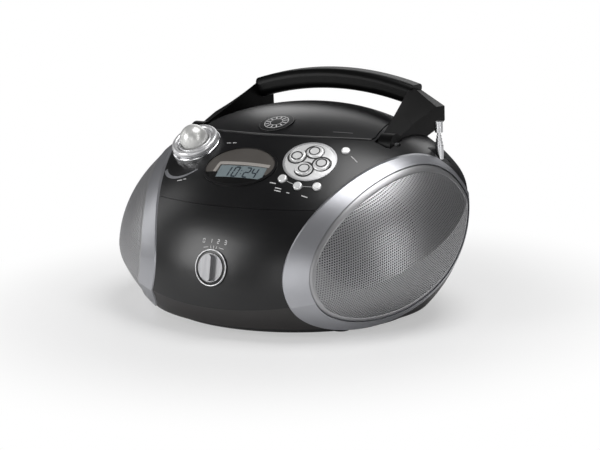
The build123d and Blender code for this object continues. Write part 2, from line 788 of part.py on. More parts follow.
with BuildPart() as display_plate:
    inner_half = [half - display_rim - 0.1 for half in display_half]
    add(crown_skin(-0.2, wall) & spot_oval(display_plane, *inner_half))
    add(glass_window.part, mode=Mode.SUBTRACT)

with BuildPart() as lcd_module:
    with BuildSketch(glass_plane.offset(-5)):
        with Locations(glass_spot):
            Rectangle(glass_size[0] - 0.3, glass_size[1] - 0.3)
    extrude(amount=4.4)
    add(crown_solid(0.4) & spot_oval(display_plane, *inner_half), mode=Mode.INTERSECT)

with BuildPart() as nav_ring:
    add(crown_skin(-0.7, wall) & spot_cylinder(nav_plane, nav_radius - fit_gap))
    add(spot_cylinder(nav_plane, nav_radius - 1.8), mode=Mode.SUBTRACT)

with BuildPart() as nav_plate:
    add(crown_skin(-0.3, wall) & spot_cylinder(nav_plane, nav_radius - 1.9))
    with BuildSketch(nav_plane.offset(-12)):
        for offset in pad_offsets.values():
            with Locations(offset):
                Circle(button_bore)
    extrude(amount=24, mode=Mode.SUBTRACT)

for label, (across_pad, up_pad) in pad_offsets.items():
    sag = (across_pad**2 + up_pad**2) / 2 / crown_cap.radius
    origin = nav_plane.from_local_coords(Vector(across_pad, up_pad, -sag))
    button_plane = Plane(origin=origin, x_dir=nav_plane.x_dir, z_dir=nav_plane.z_dir)
    button = domed_button(button_plane, nav_button_radius, 2.0, board_drop - button_travel - stem_gap)
    save(button, f"{label}_button")

for label, plane in {"program_button": program_plane, **small_planes}.items():
    save(domed_button(plane, small_radius, 2.2, small_stem), label)

with BuildPart() as control_board:
    with BuildSketch(nav_plane.offset(-board_drop - 1.6)):
        with Locations((-4, -8)):
            Rectangle(42, 44)
    extrude(amount=1.6)
    for offset in pad_offsets.values():
        with BuildSketch(nav_plane.offset(-board_drop)):
            with Locations(offset):
                Rectangle(6, 6)
        extrude(amount=0.6)
    with BuildPart(mode=Mode.PRIVATE) as posts:
        with BuildSketch(nav_plane.offset(-board_drop)):
            with Locations(*board_posts):
                Circle(1.8)
        extrude(amount=board_drop)
    add(posts.part & crown_solid(wall + 0.3))

for part, label in (
    (display_ring, "display_ring"), (display_plate, "display_plate"), (lcd_module, "lcd_module"),
    (nav_ring, "pad_ring"), (nav_plate, "pad_plate"), (control_board, "control_board"),
):
    save(part.part, label)

# ---- volume ------------------------------------------------------------------------------
volume_axis = Axis(volume_plane.origin, volume_plane.z_dir)
volume_profile = Plane(origin=volume_plane.origin, x_dir=volume_plane.x_dir, z_dir=-volume_plane.y_dir)

with BuildPart() as volume_seat:
    with BuildSketch(volume_plane.offset(-seat_depth)):
        Circle(pedestal_radius)
    extrude(amount=seat_depth)
    fillet(volume_seat.faces().sort_by(volume_axis)[-1].edges(), radius=1.5)
    with BuildSketch(volume_plane.offset(-seat_depth)):
        Circle(pedestal_radius - 2)
    extrude(amount=seat_depth - 2.5, mode=Mode.SUBTRACT)
    with BuildSketch(volume_plane.offset(-seat_depth)):
        Circle(shaft_radius + 0.1)
    extrude(amount=seat_depth, mode=Mode.SUBTRACT)

with BuildPart() as volume_collar:
    with BuildSketch(volume_profile):
        with BuildLine():
            Polyline(
                (shaft_radius + 0.02, 0.3), (collar_radius - 0.6, 0.3), (collar_radius, 0.9),
                (collar_radius, 3.4)
            )
            ThreePointArc((collar_radius, 3.4), (collar_radius - 2.2, 5.6), (collar_radius - 4.4, 4.2))
            ThreePointArc((collar_radius - 4.4, 4.2), (collar_radius - 6.4, 6.6), (collar_radius - 8.6, 4.6))
            Polyline(
                (collar_radius - 8.6, 4.6), (collar_radius - 9.2, 2.2), (shaft_radius + 0.02, 2.2),
                (shaft_radius + 0.02, 0.3)
            )
        make_face()
    revolve(axis=volume_axis)

with BuildPart() as volume_ball:
    with BuildSketch(volume_profile):
        with BuildLine():
            ball_foot = (sqrt(ball_radius**2 - (ball_lift - 2.3) ** 2), 2.3)
            ThreePointArc(ball_foot, (ball_radius, ball_lift), (0, ball_lift + ball_radius))
            Polyline(
                (0, ball_lift + ball_radius), (0, -11), (shaft_radius, -11), (shaft_radius, 2.3), ball_foot
            )
        make_face()
    revolve(axis=volume_axis)

with BuildPart() as volume_pot:
    with BuildSketch(volume_plane.offset(-seat_depth - 7)):
        Circle(9)
    extrude(amount=8.5)
    with BuildSketch(volume_plane.offset(-seat_depth - 1.6)):
        Rectangle(38, 24)
    extrude(amount=1.5)
    with BuildSketch(volume_plane.offset(-12)):
        Circle(shaft_radius + 0.1)
    extrude(amount=12, mode=Mode.SUBTRACT)

for part, label in (
    (volume_seat, "volume_seat"), (volume_collar, "volume_collar"),
    (volume_ball, "volume_ball"), (volume_pot, "volume_pot"),
):
    save(part.part, label)

# ---- selector ----------------------------------------------------------------------------
with BuildPart() as selector_ring:
    add(crown_skin(-0.8, wall) & spot_cylinder(selector_plane, selector_radius))
    add(spot_cylinder(selector_plane, selector_knob_radius + 0.3), mode=Mode.SUBTRACT)

with BuildPart() as selector_knob:
    with BuildSketch(selector_plane.offset(-wall)):
        Circle(selector_knob_radius)
    extrude(amount=wall + 1.5)
    with BuildSketch(selector_plane.offset(1.5)):
        SlotOverall(2 * selector_knob_radius - 2, 6, rotation=90)
    extrude(amount=4.5)
    with BuildSketch(selector_plane.offset(-12)):
        Circle(shaft_radius)
    extrude(amount=10)

with BuildPart() as selector_switch:
    with BuildSketch(selector_plane.offset(-20)):
        Rectangle(34, 30)
    extrude(amount=1.6)
    with BuildSketch(selector_plane.offset(-18.4)):
        Rectangle(24, 22)
    extrude(amount=10.5)
    with BuildSketch(selector_plane.offset(-14)):
        Circle(shaft_radius + 0.05)
    extrude(amount=10, mode=Mode.SUBTRACT)

for part, label in (
    (selector_ring, "selector_ring"), (selector_knob, "selector_knob"), (selector_switch, "selector_switch"),
):
    save(part.part, label)

# ---- foot --------------------------------------------------------------------------------
def foot_oval(shrink, low, high):
    with BuildPart() as slab:
        with BuildSketch(Plane.XY.offset(low)):
            with Locations((0, foot_y)):
                Ellipse(foot_half[0] - shrink, foot_half[1] - shrink)
        extrude(amount=high - low)
    return slab.part


pad_x = foot_half[0] - foot_pad_inset
pad_spots = [(side * pad_x, foot_y + end * foot_pad_reach) for side in (-1, 1) for end in (-1, 1)]

with BuildPart() as foot_tray:
    add(foot_oval(0, pad_height, floor_z - 0.05))
    add(foot_oval(foot_wall, pad_height + foot_wall, floor_z), mode=Mode.SUBTRACT)
    for spot in pad_spots:
        with BuildSketch(Plane.XY.offset(pad_height)):
            with Locations(spot):
                Circle(pad_radius)
        extrude(amount=floor_z - 0.05 - pad_height)
    with BuildSketch(Plane.XY.offset(0)):
        with Locations(*pad_spots):
            Circle(pad_radius - 1)
    extrude(amount=pad_height + 1, mode=Mode.SUBTRACT)

with BuildPart() as rubber_feet:
    with BuildSketch(Plane.XY):
        with Locations(*pad_spots):
            Circle(pad_radius - 1.1)
    extrude(amount=pad_height + 1)

save(foot_tray.part, "foot_tray")
save(rubber_feet.part, "rubber_feet")

# ---- back, battery bay and door ----------------------------------------------------------
door_low = (-bay_half_width - bay_wall, rear_y + 5, bay_bottom_z - bay_wall)
door_high = (bay_half_width + bay_wall, far, bay_top_z + bay_wall)


def grown(low, high, margin):
    return region([v - margin for v in low], [v + margin for v in high])


with BuildPart() as rear_cover:
    add(body_skin(0, wall))
    add(region((-far, rear_y + split_gap, floor_z), (far, far, far)), mode=Mode.INTERSECT)
    add(grown(door_low, door_high, 0.4), mode=Mode.SUBTRACT)
    with BuildSketch(upright_plane(rear_y)):
        with GridLocations(9, 1, 15, 1):
            with Locations((0, 128)):
                SlotOverall(16, 3, rotation=90)
        with Locations((inlet_x, inlet_z)):
            Rectangle(*inlet_size)
        with Locations(*screw_spots):
            Circle(screw_head_radius + 0.1)
    extrude(amount=-far / 4, mode=Mode.SUBTRACT)

with BuildPart() as battery_bay:
    add(grown((-bay_half_width, bay_front_y, bay_bottom_z), (bay_half_width, far, bay_top_z), bay_wall))
    add(body_solid(wall + 0.2), mode=Mode.INTERSECT)
    flange = grown((-bay_half_width, rear_y + 8, bay_bottom_z), (bay_half_width, far, bay_top_z), bay_wall + 4)
    add(body_skin(wall + 0.2, wall + 2) & flange)
    room = region((-bay_half_width, bay_front_y, bay_bottom_z), (bay_half_width, far, bay_top_z))
    add(room, mode=Mode.SUBTRACT)

with BuildPart() as battery_door:
    add(body_skin(0, wall - 0.1) & region(door_low, door_high))

with BuildPart() as mains_inlet:
    with BuildSketch(upright_plane(rear_y)):
        with Locations((inlet_x, inlet_z)):
            Rectangle(inlet_size[0] - 0.3, inlet_size[1] - 0.3)
    extrude(amount=-far / 4)
    add(body_solid(0.6), mode=Mode.INTERSECT)
    with BuildSketch(upright_plane(rear_y + inlet_wall)):
        with Locations((inlet_x, inlet_z)):
            SlotOverall(*inlet_slot)
        with Locations((inlet_x - inlet_pin_x, inlet_z), (inlet_x + inlet_pin_x, inlet_z)):
            Circle(inlet_pin_radius, mode=Mode.SUBTRACT)
    extrude(amount=-far / 4, mode=Mode.SUBTRACT)
    with BuildSketch(upright_plane(rear_y + inlet_pin_tip)):
        with Locations((inlet_x, inlet_z)):
            SlotOverall(*inlet_slot)
    extrude(amount=-far / 4, mode=Mode.SUBTRACT)

with BuildPart() as case_screws:
    for head, skin in ((screw_head_radius, body_skin(1, 2.4)), (screw_head_radius / 2, body_skin(2.2, 9))):
        with BuildPart(mode=Mode.PRIVATE) as pegs:
            with BuildSketch(upright_plane(rear_y)):
                with Locations(*screw_spots):
                    Circle(head)
            extrude(amount=-far / 4)
        add(pegs.part & skin)

save(mains_inlet.part, "mains_inlet")
save(case_screws.part, "case_screws")
save(rear_cover.part, "rear_cover")
save(battery_bay.part, "battery_bay")
save(battery_door.part, "battery_door")

# ---- aerial ------------------------------------------------------------------------------
def upright(radius, low, high, bore=0.0):
    """A round tube or rod on the aerial's axis."""
    with BuildPart() as rod:
        with BuildSketch(Plane.XY.offset(low)):
            with Locations((antenna_x, antenna_y)):
                Circle(radius)
                if bore:
                    Circle(bore, mode=Mode.SUBTRACT)
        extrude(amount=high - low)
    return rod.part


save(upright(antenna_radii[0], antenna_foot_z, antenna_top_z, antenna_radii[0] - tube_wall), "aerial_tube")
for index, radius in enumerate(antenna_radii[1:], start=1):
    top = antenna_top_z + index * section_step
    low = antenna_foot_z + 2
    bore = radius - tube_wall if index < len(antenna_radii) - 1 else 0
    section = upright(radius, low, top, bore)
    if not bore:
        section = section + upright(tip_radius, top, top + tip_height)
    save(section, f"aerial_section_{index}")

with BuildPart() as aerial_socket:
    with BuildSketch(Plane.XY.offset(socket_floor_z - 16)):
        with Locations(notch_centre):
            Rectangle(socket_width - 0.3, socket_length - 0.3)
    extrude(amount=50)
    add(body_solid(0.4), mode=Mode.INTERSECT)
    with BuildSketch(Plane.XY.offset(socket_floor_z)):
        with Locations(notch_centre):
            Rectangle(socket_width - 3.3, socket_length - 3.3)
    extrude(amount=50, mode=Mode.SUBTRACT)
    add(upright(antenna_radii[0] + 0.05, 0, far / 2), mode=Mode.SUBTRACT)
save(aerial_socket.part, "aerial_socket")

# ---- insides -----------------------------------------------------------------------------
with BuildPart() as main_board:
    with BuildSketch(Plane.XY.offset(board_z)):
        with Locations((0, 10)):
            Rectangle(board_size[0], board_size[1])
    extrude(amount=board_size[2])
    with BuildSketch(Plane.XY.offset(board_z + board_size[2])):
        with Locations((-50, 0), (-30, 0)):
            Circle(8)
        with Locations((10, 20)):
            Rectangle(26, 26)
    extrude(amount=14)
    with BuildSketch(Plane.XY.offset(floor_z + floor_wall)):
        with Locations((-68, -24), (68, -24), (-68, 44), (68, 44)):
            Circle(4)
    extrude(amount=board_z - floor_z - floor_wall)

with BuildPart() as power_transformer:
    with BuildSketch(Plane.XY.offset(floor_z + floor_wall)):
        with Locations((0, -62)):
            Rectangle(52, 44)
    extrude(amount=38)

save(main_board.part, "main_board")
save(power_transformer.part, "power_transformer")
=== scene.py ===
from math import cos, pi, radians, sin, sqrt

import bpy
import numpy as np
from mathutils import Matrix, Vector


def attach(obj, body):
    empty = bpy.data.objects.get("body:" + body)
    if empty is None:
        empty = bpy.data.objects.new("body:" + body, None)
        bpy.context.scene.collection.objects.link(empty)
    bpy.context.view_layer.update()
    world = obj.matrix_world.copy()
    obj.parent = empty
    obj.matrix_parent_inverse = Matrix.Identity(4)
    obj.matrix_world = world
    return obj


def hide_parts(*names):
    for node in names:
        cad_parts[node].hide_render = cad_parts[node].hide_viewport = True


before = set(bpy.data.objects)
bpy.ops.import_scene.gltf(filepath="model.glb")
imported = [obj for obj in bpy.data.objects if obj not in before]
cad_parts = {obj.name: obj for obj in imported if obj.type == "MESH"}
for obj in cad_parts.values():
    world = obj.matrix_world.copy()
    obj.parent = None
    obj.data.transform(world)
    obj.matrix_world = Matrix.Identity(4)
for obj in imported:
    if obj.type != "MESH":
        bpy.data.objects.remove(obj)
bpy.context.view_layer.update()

# ---- Camera --------------------------------------------------------------------------------
# A long lens a good way off, in front of the right-hand pod and a little above the lid,
# tipped slightly about its own line of sight.
eye = Vector((0.8949, -1.3840, 0.4359))
aim = Vector((0.0133, -0.0055, 0.0776))
tip = radians(-2.1)
backward = (eye - aim).normalized()
level = Vector((0, 0, 1)).cross(backward).normalized()
upward = backward.cross(level)
across = level * cos(tip) + upward * sin(tip)
upright = upward * cos(tip) - level * sin(tip)
lens = bpy.data.cameras.new("camera")
lens.lens = 108
lens.sensor_width = 36
camera = bpy.data.objects.new("camera", lens)
camera.matrix_world = Matrix.Translation(eye) @ Matrix((across, upright, backward)).transposed().to_4x4()
bpy.context.scene.collection.objects.link(camera)
bpy.context.scene.camera = camera
bpy.context.scene.view_settings.view_transform = "Standard"

# ---- Room ----------------------------------------------------------------------------------
# A white sweep and six soft boxes: broad ones over the front left and overhead, a small low
# one in front, a tall strip at each side, and one behind for the tops of the lid and handle.
world = bpy.data.worlds.new("room")
world.use_nodes = True
bpy.context.scene.world = world
nodes, links = world.node_tree.nodes, world.node_tree.links
ray = nodes.new("ShaderNodeLightPath")
plain = nodes.new("ShaderNodeMix")
plain.data_type = "RGBA"        # the two colours of such a mix are its inputs 6 and 7
plain.inputs[6].default_value = (0.045, 0.045, 0.047, 1)
plain.inputs[7].default_value = (1, 1, 1, 1)
links.new(ray.outputs["Is Camera Ray"], plain.inputs[0])
links.new(plain.outputs[2], nodes["Background"].inputs["Color"])


def lamp(name, place, target, size, watts):
    """A rectangular soft box at a place, facing a target."""
    light = bpy.data.lights.new(name, "AREA")
    light.shape = "RECTANGLE"
    light.size, light.size_y = size
    light.energy = watts
    box = bpy.data.objects.new(name, light)
    box.location = place
    box.rotation_euler = (Vector(place) - Vector(target)).to_track_quat("Z", "Y").to_euler()
    bpy.context.scene.collection.objects.link(box)


lamp("front_box", (-0.95, -1.25, 0.55), (0, 0, 0.09), (0.8, 0.8), 11)
lamp("top_box", (0.35, 0.1, 1.5), (0, 0, 0.1), (1.0, 0.8), 13)
lamp("right_strip", (1.3, -0.5, 0.5), (0, 0, 0.1), (0.3, 1.2), 4)
lamp("left_strip", (-1.4, -0.2, 0.6), (0, 0, 0.1), (0.4, 1.0), 2)
lamp("low_box", (0.22, -1.25, 0.22), (0.05, 0, 0.08), (0.5, 0.5), 1.3)
lamp("rear_box", (-0.5, 1.5, 0.9), (0, 0, 0.15), (1.4, 0.6), 5)

floor = bpy.data.objects.new("floor", bpy.data.meshes.new("floor"))
floor.data.from_pydata([(-6, -6, 0), (6, -6, 0), (6, 6, 0), (-6, 6, 0)], [], [(0, 1, 2, 3)])
bpy.context.scene.collection.objects.link(floor)
paper = bpy.data.materials.new("white_sweep")
paper.use_nodes = True
nodes, links = paper.node_tree.nodes, paper.node_tree.links
nodes["Principled BSDF"].inputs["Base Color"].default_value = (0.9, 0.9, 0.9, 1)
nodes["Principled BSDF"].inputs["Roughness"].default_value = 0.6
glow, place, reach_out, seen, share = (nodes.new("ShaderNode" + kind) for kind in (
    "Emission", "TexCoord", "VectorMath", "LightPath", "MapRange"))
reach_out.operation = "LENGTH"
share.interpolation_type = "SMOOTHSTEP"
share.inputs["From Min"].default_value = 0.18
share.inputs["From Max"].default_value = 0.38
share.inputs["To Min"].default_value = 0.45
only_seen = nodes.new("ShaderNodeMath")
only_seen.operation = "MULTIPLY"
blend = nodes.new("ShaderNodeMixShader")
links.new(place.outputs["Object"], reach_out.inputs[0])
links.new(reach_out.outputs["Value"], share.inputs["Value"])
links.new(share.outputs["Result"], only_seen.inputs[0])
links.new(seen.outputs["Is Camera Ray"], only_seen.inputs[1])
links.new(only_seen.outputs[0], blend.inputs["Fac"])
links.new(nodes["Principled BSDF"].outputs[0], blend.inputs[1])
links.new(glow.outputs[0], blend.inputs[2])
links.new(blend.outputs[0], nodes["Material Output"].inputs["Surface"])
floor.data.materials.append(paper)


# ---- Casings -------------------------------------------------------------------------------
# The cabinets, front panel, rear cover, battery door, lid and handle are injection moulded in
# black ABS. Most have a polished face, with a faint ripple and soft clouds in its shine; the
# bottom cabinet and the handle are satin. The bottom cabinet's lighter tone is a painted
# reflection of the white floor along its lower lip.
def surface_group():
    """A node group that gives one moulded or rolled surface its unevenness.

    Clouds is a slow noise for colour, Roughness is the given one varied by those clouds, and
    Normal carries a fine grain.
    """
    tree = bpy.data.node_groups.new("uneven_surface", "ShaderNodeTree")
    for label, start in (("Cloud Scale", 30.0), ("Grain Scale", 900.0), ("Grain Depth", 0.1),
                         ("Roughness", 0.3), ("Spread", 0.1)):
        tree.interface.new_socket(label, in_out="INPUT", socket_type="NodeSocketFloat").default_value = start
    tree.interface.new_socket("Stretch", in_out="INPUT",
                              socket_type="NodeSocketVector").default_value = (1, 1, 1)
    for label in ("Clouds", "Roughness"):
        tree.interface.new_socket(label, in_out="OUTPUT", socket_type="NodeSocketFloat")
    tree.interface.new_socket("Normal", in_out="OUTPUT", socket_type="NodeSocketVector")
    inside, join = tree.nodes, tree.links.new
    given, result = inside.new("NodeGroupInput"), inside.new("NodeGroupOutput")
    place = inside.new("ShaderNodeTexCoord")
    pulled = inside.new("ShaderNodeVectorMath")
    pulled.operation = "MULTIPLY"
    join(place.outputs["Object"], pulled.inputs[0])
    join(given.outputs["Stretch"], pulled.inputs[1])
    clouds, grain = inside.new("ShaderNodeTexNoise"), inside.new("ShaderNodeTexNoise")
    clouds.inputs["Detail"].default_value = 5
    grain.inputs["Detail"].default_value = 2
    for noise, label in ((clouds, "Cloud Scale"), (grain, "Grain Scale")):
        join(pulled.outputs[0], noise.inputs["Vector"])
        join(given.outputs[label], noise.inputs["Scale"])
    varied = inside.new("ShaderNodeMath")
    varied.operation = "MULTIPLY_ADD"
    varied.use_clamp = True
    join(clouds.outputs["Fac"], varied.inputs[0])
    join(given.outputs["Spread"], varied.inputs[1])
    join(given.outputs["Roughness"], varied.inputs[2])
    bump = inside.new("ShaderNodeBump")
    bump.inputs["Distance"].default_value = 0.0002
    join(given.outputs["Grain Depth"], bump.inputs["Strength"])
    join(grain.outputs["Fac"], bump.inputs["Height"])
    join(clouds.outputs["Fac"], result.inputs["Clouds"])
    join(varied.outputs[0], result.inputs["Roughness"])
    join(bump.outputs["Normal"], result.inputs["Normal"])
    return tree


uneven = surface_group()


def finish(name, dark, light, roughness, spread=0.1, clouds=30.0, grain=900.0, depth=0.1,
           stretch=(1, 1, 1), **shader_values):
    """A material that runs from a dark to a light tone in clouds, over the uneven surface."""
    made = bpy.data.materials.new(name)
    made.use_nodes = True
    tree = made.node_tree
    shader = tree.nodes["Principled BSDF"]
    surface = tree.nodes.new("ShaderNodeGroup")
    surface.node_tree = uneven
    for label, value in (("Cloud Scale", clouds), ("Grain Scale", grain), ("Grain Depth", depth),
                         ("Roughness", roughness - spread / 2), ("Spread", spread), ("Stretch", stretch)):
        surface.inputs[label].default_value = value
    tone = tree.nodes.new("ShaderNodeMix")
    tone.data_type = "RGBA"
    tone.name = "tone"
    tone.inputs[6].default_value = (*dark, 1)
    tone.inputs[7].default_value = (*light, 1)
    tree.links.new(surface.outputs["Clouds"], tone.inputs[0])
    tree.links.new(tone.outputs[2], shader.inputs["Base Color"])
    tree.links.new(surface.outputs["Roughness"], shader.inputs["Roughness"])
    tree.links.new(surface.outputs["Normal"], shader.inputs["Normal"])
    for label, value in shader_values.items():
        shader.inputs[label.replace("_", " ")].default_value = value
    return made


def dress(made, *names):
    """Give a finish to CAD nodes."""
    for name in names:
        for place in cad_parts[name].material_slots:
            place.material = made


black_gloss = finish("black_gloss", (0.004, 0.004, 0.0045), (0.008, 0.008, 0.0085), 0.31, 0.08,
                     clouds=14, grain=260, depth=0.02)
dress(black_gloss, "top_cabinet", "front_panel", "rear_cover", "battery_door", "cd_lid", "display_ring",
      "selector_ring")
# The bottom cabinet's satin roughness is real, but its lighter tone is a painted reflection of the white
# floor.
black_satin_painted_reflection = finish("black_satin_painted_reflection", (0.022, 0.020, 0.020), (0.032, 0.030, 0.029), 0.42, 0.1, clouds=14,
                     grain=1200, depth=0.04)
dress(black_satin_painted_reflection, "bottom_cabinet")
handle_black = finish("handle_black", (0.0015, 0.0015, 0.0015), (0.0035, 0.0035, 0.0035), 0.4, 0.06,
                      clouds=14, grain=700, depth=0.02, Specular_IOR_Level=0.15)
dress(handle_black, "handle")

# ---- Speaker pods --------------------------------------------------------------------------
# A silver painted bezel is clipped round each oval, and a sheet of perforated aluminium,
# pressed to the same curve as the body, fills it inside a plain rolled rim.
silver_paint = finish("silver_paint", (0.39, 0.395, 0.42), (0.46, 0.465, 0.49), 0.34, 0.06,
                      clouds=9, grain=4200, depth=0.05, Metallic=0.75, Coat_Weight=0.3, Coat_Roughness=0.2)
dress(silver_paint, "bezel_left", "bezel_right")
pressed_sheet = finish("perforated_aluminium", (0.40, 0.40, 0.41), (0.48, 0.48, 0.49), 0.38, 0.1,
                       clouds=12, grain=2600, depth=0.08, Metallic=0.8)

crease = np.array((0.0, -0.0036, 0.0888))
lean = radians(25.2)
along = np.array((0.0, cos(lean), sin(lean)))
above = np.array((0.0, -sin(lean), cos(lean)))
reach, half_width = 0.144, 0.175
stretch_x = half_width / reach
crown_rise, keel_drop = 0.085, 0.133
crown_form, keel_form = (crown_rise, 0.748), (keel_drop, 0.767)     # and the share where the arcs meet
knee_out = 0.62                                                     # how far out the arcs meet
pod_turn = radians(55)


def arcs(rise, share, inset):
    """The two arcs of a half profile as (knee, cap radius, cap centre, side radius, side centre).

    The cap is level on the axis and runs to the knee; the side leaves it there without a
    kink and ends on the crease.
    """
    knee = np.array((knee_out * (reach - inset), share * (rise - inset)))
    drop = rise - inset - knee[1]
    cap = (knee[0] ** 2 + drop**2) / (2 * drop)
    cap_centre = np.array((0.0, rise - inset - cap))
    inward = (cap_centre - knee) / cap
    span = np.array((reach - inset, 0.0)) - knee
    side = span @ span / (2 * span @ inward)
    return knee, cap, cap_centre, side, knee + side * inward


def out_at(height, inset, form):
    """How far out a half of the form is at a height from the crease."""
    knee, cap, cap_centre, side, side_centre = arcs(*form, inset)
    on_cap = np.sqrt(np.maximum(cap**2 - (height - cap_centre[1]) ** 2, 0))
    on_side = side_centre[0] + np.sqrt(np.maximum(side**2 - (height - side_centre[1]) ** 2, 0))
    return np.where(height > knee[1], on_cap, on_side)


def placed(x, v, height):
    """Points from x across, v along the crease plane and the height square to that plane."""
    return crease + x[..., None] * np.array((1.0, 0, 0)) + v[..., None] * along + height[..., None] * above


def on_pod(h, w, inset):
    """Points of the form, seen square to the right pod: h along the crease plane, w above it.

    Each lies where the line of sight enters the oval that the form has at the height w.
    """
    sidelong, endlong = sin(pod_turn), cos(pod_turn)
    radius = np.where(w > 0, out_at(w, inset, crown_form), out_at(-w, inset, keel_form))
    a = (sidelong / stretch_x) ** 2 + endlong**2
    b = 2 * h * sidelong * endlong * (1 / stretch_x**2 - 1)
    c = h**2 * ((endlong / stretch_x) ** 2 + sidelong**2) - radius**2
    out = (-b + np.sqrt(np.maximum(b**2 - 4 * a * c, 0))) / (2 * a)
    return placed(h * endlong + out * sidelong, h * sidelong - out * endlong, w)


def on_crown(x, v, lift):
    """Points on the upper half of the form, from x across and v along the crease plane."""
    knee, cap, cap_centre, side, side_centre = arcs(*crown_form, -lift)
    out = np.hypot(x / stretch_x, v)
    over = cap_centre[1] + np.sqrt(np.maximum(cap**2 - out**2, 0))
    beside = side_centre[1] + np.sqrt(np.maximum(side**2 - (out - side_centre[0]) ** 2, 0))
    return placed(x, v, np.where(out < knee[0], over, beside))


def piece(name, points, faces, body, made, slot, smooth=True):
    """A mesh object from arrays of points and faces, riding on a body."""
    mesh = bpy.data.meshes.new(name)
    faces = np.asarray(faces)
    mesh.vertices.add(len(points))
    mesh.vertices.foreach_set("co", np.ascontiguousarray(points, dtype=np.float32).ravel())
    mesh.loops.add(faces.size)
    mesh.loops.foreach_set("vertex_index", faces.ravel().astype(np.int32))
    mesh.polygons.add(len(faces))
    mesh.polygons.foreach_set("loop_start", np.arange(0, faces.size, faces.shape[1], dtype=np.int32))
    mesh.polygons.foreach_set("loop_total", np.full(len(faces), faces.shape[1], dtype=np.int32))
    mesh.update(calc_edges=True)
    mesh.validate()
    if smooth:
        mesh.shade_smooth()
    else:
        mesh.shade_flat()
    mesh.materials.append(made)
    obj = bpy.data.objects.new(name, mesh)
    bpy.context.scene.collection.objects.link(obj)
    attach(obj, body)
    return obj


def ring_faces(rings, steps, closed):
    """Quads between neighbouring rings of points, each closed round, joined end to end if closed."""
    ring = np.arange(rings if closed else rings - 1)[:, None]
    step = np.arange(steps)[None, :]
    here, there = ring * steps, (ring + 1) % rings * steps
    after = (step + 1) % steps
    return np.stack((here + step, here + after, there + after, there + step), axis=-1).reshape(-1, 4)


mesh_middle, mesh_half = np.array((0.044, 0.0045)), np.array((0.08885, 0.05385))
hole_pitch, hole_radius, sheet_top, sheet_back = 0.0021, 0.00069, 0.0003, 0.0010
sheet_tuck, rim_width = 0.0015, 0.0046
length_bend = 0.155                         # radius of the form along the length of a pod
sides = 12                                  # points round a hole and its cell, a multiple of six
cell_points, cell_faces = 4 * sides, 3 * sides


def evened(s, radius):
    """Turns a length laid on a round form into how far it reaches across the view."""
    return radius * np.sin(np.clip(s / radius, -pi / 2, pi / 2))


def perforated_sheet():
    """Points and faces of the sheet: a hexagonal cell round each hole, front, bore and back.

    Cell centres lie on a staggered lattice that is even along the curved surface. Each cell
    has twelve points on its hexagon and twelve round its hole, at the same angles. Rows run
    upward, so the cells below the fold come first, and their number is given too.
    """
    columns, rows = (-34, 88), (-37, 48)            # enough of the lattice to cover the oval
    half_side = pi / 6                              # half the angle that a hexagon's side spans
    column, row = np.meshgrid(np.arange(*columns), np.arange(*rows))
    centre = np.stack((column + 0.5 * (row % 2), row * sqrt(0.75)), axis=-1).reshape(-1, 1, 2) * hole_pitch
    angle = np.arange(sides) * 2 * pi / sides
    to_side = hole_pitch / 2 / np.cos((angle + half_side) % (2 * half_side) - half_side)
    unit = np.stack((np.cos(angle), np.sin(angle)), axis=-1)
    plan = np.concatenate((centre + unit * to_side[:, None], centre + unit * hole_radius), axis=1)
    h = evened(plan[..., 0], length_bend)
    w = np.where(plan[..., 1] > 0, evened(plan[..., 1], crown_rise), evened(plan[..., 1], keel_drop))
    off_middle = np.stack((h, w), axis=-1) - mesh_middle
    kept = (((off_middle / (mesh_half - sheet_tuck)) ** 2).sum(axis=-1) < 1).all(axis=1)
    h, w = h[kept], w[kept]
    below = int((w.mean(axis=1) < 0).sum())
    front, rear = on_pod(h, w, sheet_top), on_pod(h, w, sheet_back)
    points = np.concatenate((front, rear[:, sides:], rear[:, :sides]), axis=1)
    step = np.arange(sides)
    after = (step + 1) % sides
    bands = [np.stack((a + step, a + after, a + sides + after, a + sides + step), axis=-1)
             for a in (0, sides, 2 * sides)]
    faces = np.arange(len(points))[:, None, None] * cell_points + np.concatenate(bands)[None]
    return points.reshape(-1, 3), faces.reshape(-1, 4), below


def rolled_rim():
    """Points and faces of the rim: its closed section swept round the oval."""
    steps = 220
    section = np.array(((0.0, 0.0010), (0.0, 0.0003), (0.0004, 0.0),
                        (0.0040, 0.0), (rim_width, 0.0003), (rim_width, 0.0010)))
    angle = np.arange(steps) * 2 * pi / steps
    h = mesh_middle[0] + (mesh_half[0] - section[:, :1]) * np.cos(angle)
    w = mesh_middle[1] + (mesh_half[1] - section[:, :1]) * np.sin(angle)
    rings = [on_pod(h[i], w[i], section[i, 1]) for i in range(len(section))]
    return np.concatenate(rings), ring_faces(len(section), steps, True)


sheet_points, sheet_faces, below_fold = perforated_sheet()
rim_points, rim_faces = rolled_rim()
for side, mirror in (("right", 1), ("left", -1)):
    flip = slice(None, None, mirror)
    for half, first, last in (("lower", 0, below_fold),
                              ("upper", below_fold, len(sheet_points) // cell_points)):
        sheet = piece(f"sheet_{side}_{half}",
                      sheet_points[first * cell_points:last * cell_points] * (mirror, 1, 1),
                      sheet_faces[:(last - first) * cell_faces, flip],
                      "case", pressed_sheet, "grille_silver", smooth=False)
    piece(f"rim_{side}", rim_points * (mirror, 1, 1), rim_faces[:, flip], "case", pressed_sheet,
          "grille_silver")
    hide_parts(f"grille_{side}")

